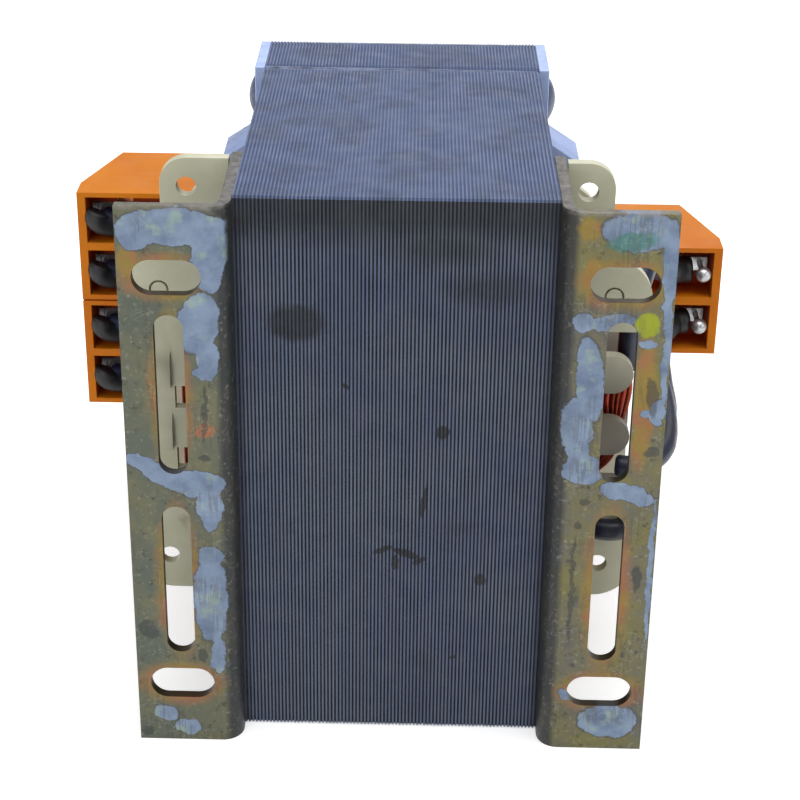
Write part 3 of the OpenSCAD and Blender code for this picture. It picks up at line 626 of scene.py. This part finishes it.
def weld(name, node, side):
    low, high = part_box(node)
    seam = (low.y + high.y) / 2
    top = high.z if side > 0 else low.z
    mesh = bmesh.new()
    corners = [mesh.verts.new((low.x, seam + y * bead["half"] * mm,
                               top + side * (z * bead["rise"] * mm - bead["below"] * mm)))
               for y, z in bead["profile"]]
    edges = list(mesh.faces.new(corners).edges)
    step = (high.x - low.x) / bead["steps"]
    for i in range(bead["steps"]):
        verts, edges = growRing(mesh, edges)
        bmesh.ops.translate(mesh, verts=verts, vec=(step, 0, 0))
        wave = bead["wave"] * mm if i < bead["steps"] - 1 else 0
        drop = bead["drop"] * mm * (0.5 + 0.5 * math.sin(i * bead["dropTurn"]))
        drop *= 1 if i % 2 else bead["dropEven"]
        for v in verts:
            scaleX, scaleY = bead["waveScale"]
            v.co.y += noise.noise(Vector((v.co.x * scaleX, bead["seed"], v.co.y * scaleY))) * wave
            v.co.z -= side * drop
    bmesh.ops.contextual_create(mesh, geom=edges)
    close(mesh)
    place(name, mesh, ["weldMetal"], [node], bead["smooth"])


weld("topWeld", "top_weld_bead", 1)
weld("bottomWeld", "bottom_weld_bead", -1)
report("core")

softness = {"foot": 0.12, "strap": 0.15, "bobbin": 0.18, "block": 0.22}  # mm
cadCopy("leftFoot", "left_mounting_bracket", "chromateLeft", softness["foot"])
cadCopy("rightFoot", "right_mounting_bracket", "chromateRight", softness["foot"])
cadCopy("leftStrap", "left_terminal_bracket", "zincPlate", softness["strap"])
cadCopy("rightStrap", "right_terminal_bracket", "zincPlate", softness["strap"])
for node in ("upper_rivet", "lower_rivet"):
    dress(node, "rivetPlate")
report("brackets")

rearFlange = {"from": 16.2, "round": 20.5, "cuts": 6}  # mm, and the number of flats at a corner


def roundRear(mesh):  # trims the corners of the rear flange, plane by plane
    start, r = rearFlange["from"] * mm, rearFlange["round"] * mm
    rear = [v.co for v in mesh.verts if v.co.y > start]
    for sx, edgeX in ((-1, min(c.x for c in rear)), (1, max(c.x for c in rear))):
        for sz, edgeZ in ((-1, min(c.z for c in rear)), (1, max(c.z for c in rear))):
            centre = Vector((edgeX - sx * r, 0, edgeZ - sz * r))
            for i in range(rearFlange["cuts"]):
                angle = math.pi / 2 * (i + 0.5) / rearFlange["cuts"]
                out = Vector((sx * math.cos(angle), 0, sz * math.sin(angle)))
                faces = [f for f in mesh.faces if all(v.co.y > start for v in f.verts)]
                parts = list(dict.fromkeys(g for f in faces for g in [f, *f.verts, *f.edges]))
                cut = bmesh.ops.bisect_plane(mesh, geom=parts, dist=1e-7, plane_co=centre + out * r,
                                             plane_no=out, clear_outer=True)["geom_cut"]
                rim = [g for g in cut if isinstance(g, bmesh.types.BMEdge) and g.is_boundary]
                if rim:
                    bmesh.ops.edgenet_fill(mesh, edges=rim)


cadCopy("bobbin", "coil_bobbin", "bobbinPlastic", softness["bobbin"], roundRear)

coils = {"secondaryTurns": {"node": "secondary_winding", "pitch": 1.18},
         "primaryTurns": {"node": "primary_winding", "pitch": 0.62}}
# mm; "inset" is how much slimmer the coil is than its node, "arc" the number of edges round a wire
coilForm = {"inset": 5.2, "corner": 6, "depth": 5.2, "cornerSteps": 7, "arc": 5, "smooth": 75}


def winding(name, node, pitch):
    low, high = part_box(node)
    slim = Vector((coilForm["inset"], 0, coilForm["inset"])) * mm
    low, high = Vector(low) + slim, Vector(high) - slim
    count = int((high.y - low.y) / (pitch * mm))
    pitch = (high.y - low.y) / count
    corner, depth, half = coilForm["corner"] * mm, coilForm["depth"] * mm, pitch / 2
    section = [(high.x - depth, low.y)]
    for i in range(count):
        for k in range(coilForm["arc"]):
            angle = math.pi * (k + 0.5) / coilForm["arc"]
            section.append((high.x - half + half * math.sin(angle),
                            low.y + (i + 0.5) * pitch - half * math.cos(angle)))
    section.append((high.x - depth, high.y))
    mesh = bmesh.new()
    verts = [mesh.verts.new((x, y, low.z + corner)) for x, y in section]
    geom = [mesh.edges.new((verts[i], verts[(i + 1) % len(verts)])) for i in range(len(verts))]
    middle = Vector(((low.x + high.x) / 2, 0, (low.z + high.z) / 2))
    reach = Vector(((high.x - low.x) / 2 - corner, 0, (high.z - low.z) / 2 - corner))
    # a straight run and then a quarter turn, four times
    sides = [((0, 0, 1), reach.z, (1, 1)), ((-1, 0, 0), reach.x, (-1, 1)), ((0, 0, -1), reach.z, (-1, -1)),
             ((1, 0, 0), reach.x, (1, -1))]
    for direction, length, (sx, sz) in sides:
        verts, edges = growRing(mesh, [g for g in geom if isinstance(g, bmesh.types.BMEdge)])
        bmesh.ops.translate(mesh, verts=verts, vec=Vector(direction) * 2 * length)
        centre = (middle.x + sx * reach.x, 0, middle.z + sz * reach.z)
        geom = bmesh.ops.spin(mesh, geom=verts + edges, cent=centre, axis=(0, -1, 0), angle=math.pi / 2,
                              steps=coilForm["cornerSteps"], use_duplicate=False)["geom_last"]
    close(mesh, 2e-6)
    place(name, mesh, ["copperWire"], [node], coilForm["smooth"])


for name, coil in coils.items():
    winding(name, coil["node"], coil["pitch"])
report("bobbin and windings")

blockPieces = {"left_upper_block": "leftUpperBlock", "left_lower_block": "leftLowerBlock",
               "right_block": "rightBlock"}
for node, name in blockPieces.items():
    cadCopy(name, node, "terminalPlastic", softness["block"])
for node in nodes:
    if "clamps" in node or "screws" in node:
        dress(node, "clampMetal")
    elif "tags" in node:
        dress(node, "tinnedMetal")

# routes in mm: out from the middle, back from the front of the core, and up
leads = {
    "leftLead1": {"node": "left_lead_1", "side": -1, "route": [
        (31.6, 46, 50), (36, 46, 50), (40, 46.8, 50.6), (42.5, 50, 52), (44, 55, 54), (45.6, 60, 55.4),
        (49.3, 62.5, 55.8)]},
    "leftLead2": {"node": "left_lead_2", "side": -1, "route": [
        (31.6, 42, 44), (36, 42, 44), (40, 42.8, 44.2), (43, 47, 44.8), (44.2, 53, 45.6), (45.6, 59.5, 46.2),
        (49.3, 62.5, 46.3)]},
    "leftLead3": {"node": "left_lead_3", "side": -1, "route": [
        (31.6, 46, 38), (36, 46, 38), (40, 46.8, 37.8), (43, 50, 37.3), (44.2, 55, 36.8), (45.6, 60, 36.3),
        (49.3, 62.5, 36.2)]},
    "leftLead4": {"node": "left_lead_4", "side": -1, "route": [
        (31.6, 42, 31), (36, 42, 31), (40, 42.8, 30.5), (43, 47, 29), (44.2, 53, 27.6), (45.6, 59.5, 26.8),
        (49.3, 62.5, 26.7)]},
    "rightUpperLead": {"node": "right_upper_lead", "side": 1, "shrink": True, "route": [
        (33.7, 18.2, 50.8), (33.7, 18.2, 54.5), (33.9, 18.4, 58.5), (34.8, 20.5, 62.3), (36.6, 26, 64.2),
        (38.4, 34, 62.5), (40, 43, 57.5), (41.6, 52, 52), (44, 58.6, 48.8), (46.6, 62.2, 47.6),
        (48.9, 62.5, 47.6)]},
    "rightMiddleLead": {"node": None, "side": 1, "route": [
        (32.4, 14.2, 37), (34.8, 13.9, 37), (37.8, 15.6, 37), (40.2, 19.5, 37.4), (41.2, 26, 38.2),
        (41, 34, 40), (39.4, 41, 42), (36, 45.5, 43.2), (32, 47, 43.5), (28.6, 47, 43.5)]},
    "rightLowerLead": {"node": "right_lower_lead", "side": 1, "shrink": True, "route": [
        (28.4, 14.4, 26.6), (31, 13.2, 26.6), (34, 13.2, 27), (35.8, 14.6, 29.6), (36.8, 17.5, 33),
        (38.6, 21.5, 35), (40.8, 27, 35.4), (42.4, 35, 35.6), (42.6, 44, 36.4), (43.2, 54, 37.8),
        (45.8, 61.4, 38.1), (48.9, 62.5, 38.1)]}}
# mm; "ends" narrows the first and second rings, and a hood's heights count from the end of its lead
tubes = {"lead": 1.6, "sides": 18, "steps": 7, "smooth": 50, "ends": (0.72, 0.94), "shrink": 2.2,
         "shrinkFrom": 44.0, "shrinkTo": 49.1, "hood": 2.0, "hoodSteps": 5,
         "hoodRoute": [(44.5, 62.5, -1.2), (47.3, 61.9, -1.5), (49.4, 61.0, -0.9), (50.3, 60.5, 0.2),
                       (50.0, 60.6, 1.3)]}
redWires = {"across": (31.0, 31.9, 32.6, 33.4, 34.1), "radius": 0.48, "sides": 10, "steps": 6}
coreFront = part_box("e_core_stack")[0].y


def routePath(route, side, steps):
    return smoothPath([(side * x, y + coreFront / mm, z) for x, y, z in route], steps)


def tube(name, path, radii, sides, material, replaced):
    mesh = bmesh.new()
    sweep(mesh, path, radii, sides)
    close(mesh)
    place(name, mesh, [material], replaced, tubes["smooth"])


def sleeve(name, path, radius, material, replaced=()):  # a tube with softly closed ends
    shares = [*tubes["ends"], *[1] * (len(path) - 4), *reversed(tubes["ends"])]
    radii = [radius * mm * share for share in shares]
    tube(name, path, radii, tubes["sides"], material, replaced)


for name, lead in leads.items():
    path = routePath(lead["route"], lead["side"], tubes["steps"])
    sleeve(name, path, tubes["lead"], "sleeve", [lead["node"]] if lead["node"] else [])
    if "shrink" in lead:
        over = [v for v in path if tubes["shrinkFrom"] * mm < v.x < tubes["shrinkTo"] * mm]
        sleeve(name + "Shrink", over, tubes["shrink"], "shrink")
    elif lead["side"] < 0:
        end = lead["route"][-1][2]
        over = routePath([(x, y, z + end) for x, y, z in tubes["hoodRoute"]], -1, tubes["hoodSteps"])
        sleeve(name + "Hood", over, tubes["hood"], "shrink")

for i, x in enumerate(redWires["across"]):
    route = [(33.7, 18.2, 51.2), (x, 18.0, 47), (0.4 * x + 19.0, 17.8, 40), (0.3 * x + 21.6, 18.0, 36),
             (28.2, 18.6, 32)]
    path = routePath(route, 1, redWires["steps"])
    tube("redWire%d" % (i + 1), path, [redWires["radius"] * mm] * len(path), redWires["sides"],
         "redWire" if i % 3 == 0 else "copperWire", [])
report("blocks and leads")

# metres and watts; a lamp has a name, a place, a size and a power
room = {"floorHalf": 3.0, "floorTone": 0.86, "floorRough": 0.9, "world": 0.42, "glow": 0.42,
        "target": (0, 0, 0.04),
        "lamps": [("top", (0.05, -0.05, 0.9), 0.9, 6.5), ("front", (-0.5, -1.0, 0.45), 0.8, 3.8),
                  ("right", (0.9, -0.5, 0.5), 0.7, 2.4), ("back", (0.2, 1.0, 0.6), 0.9, 3.0)]}


def makeFloor():
    material, tree, shader, point = newMaterial("paleFloor")
    shader.inputs["Roughness"].default_value = room["floorRough"]
    shader.inputs["Base Color"].default_value = (room["floorTone"],) * 3 + (1,)
    rays = addNode(tree, "ShaderNodeLightPath").outputs
    seen = maths(tree, "ADD", rays["Is Camera Ray"], rays["Is Glossy Ray"], clamp=True)
    glow = addNode(tree, "ShaderNodeEmission", {"Color": (1, 1, 1, 1), "Strength": room["glow"]})
    both = addNode(tree, "ShaderNodeAddShader", {0: shader.outputs[0], 1: glow.outputs[0]})
    mix = addNode(tree, "ShaderNodeMixShader", {0: seen, 1: shader.outputs[0], 2: both.outputs[0]})
    tree.links.new(mix.outputs[0], tree.nodes["Material Output"].inputs[0])
    mesh = bmesh.new()
    bmesh.ops.create_grid(mesh, x_segments=1, y_segments=1, size=room["floorHalf"])
    data = bpy.data.meshes.new("floor")
    mesh.to_mesh(data)
    mesh.free()
    floor = bpy.data.objects.new("floor", data)
    bpy.context.scene.collection.objects.link(floor)
    data.materials.append(material)


def makeWorld():
    world = bpy.data.worlds.new("studio")
    bpy.context.scene.world = world
    world.use_nodes = True
    tree = world.node_tree
    tree.nodes.clear()
    rays = addNode(tree, "ShaderNodeLightPath").outputs
    seen = maths(tree, "ADD", rays["Is Camera Ray"], rays["Is Transmission Ray"], clamp=True)
    strength = ramp(tree, seen, 0, 1, room["world"], 1.0)
    sky = addNode(tree, "ShaderNodeBackground", {"Color": (1, 1, 1, 1), "Strength": strength})
    output = addNode(tree, "ShaderNodeOutputWorld")
    tree.links.new(sky.outputs[0], output.inputs[0])


def makeLamps():
    for name, where, size, power in room["lamps"]:
        lamp = bpy.data.lights.new(name, "AREA")
        lamp.energy, lamp.size = power, size
        holder = bpy.data.objects.new(name, lamp)
        holder.location = where
        aim = Vector(room["target"]) - Vector(where)
        holder.rotation_euler = aim.to_track_quat("-Z", "Y").to_euler()
        bpy.context.scene.collection.objects.link(holder)


makeFloor()
makeWorld()
makeLamps()
report("room")

bpy.context.view_layer.update()
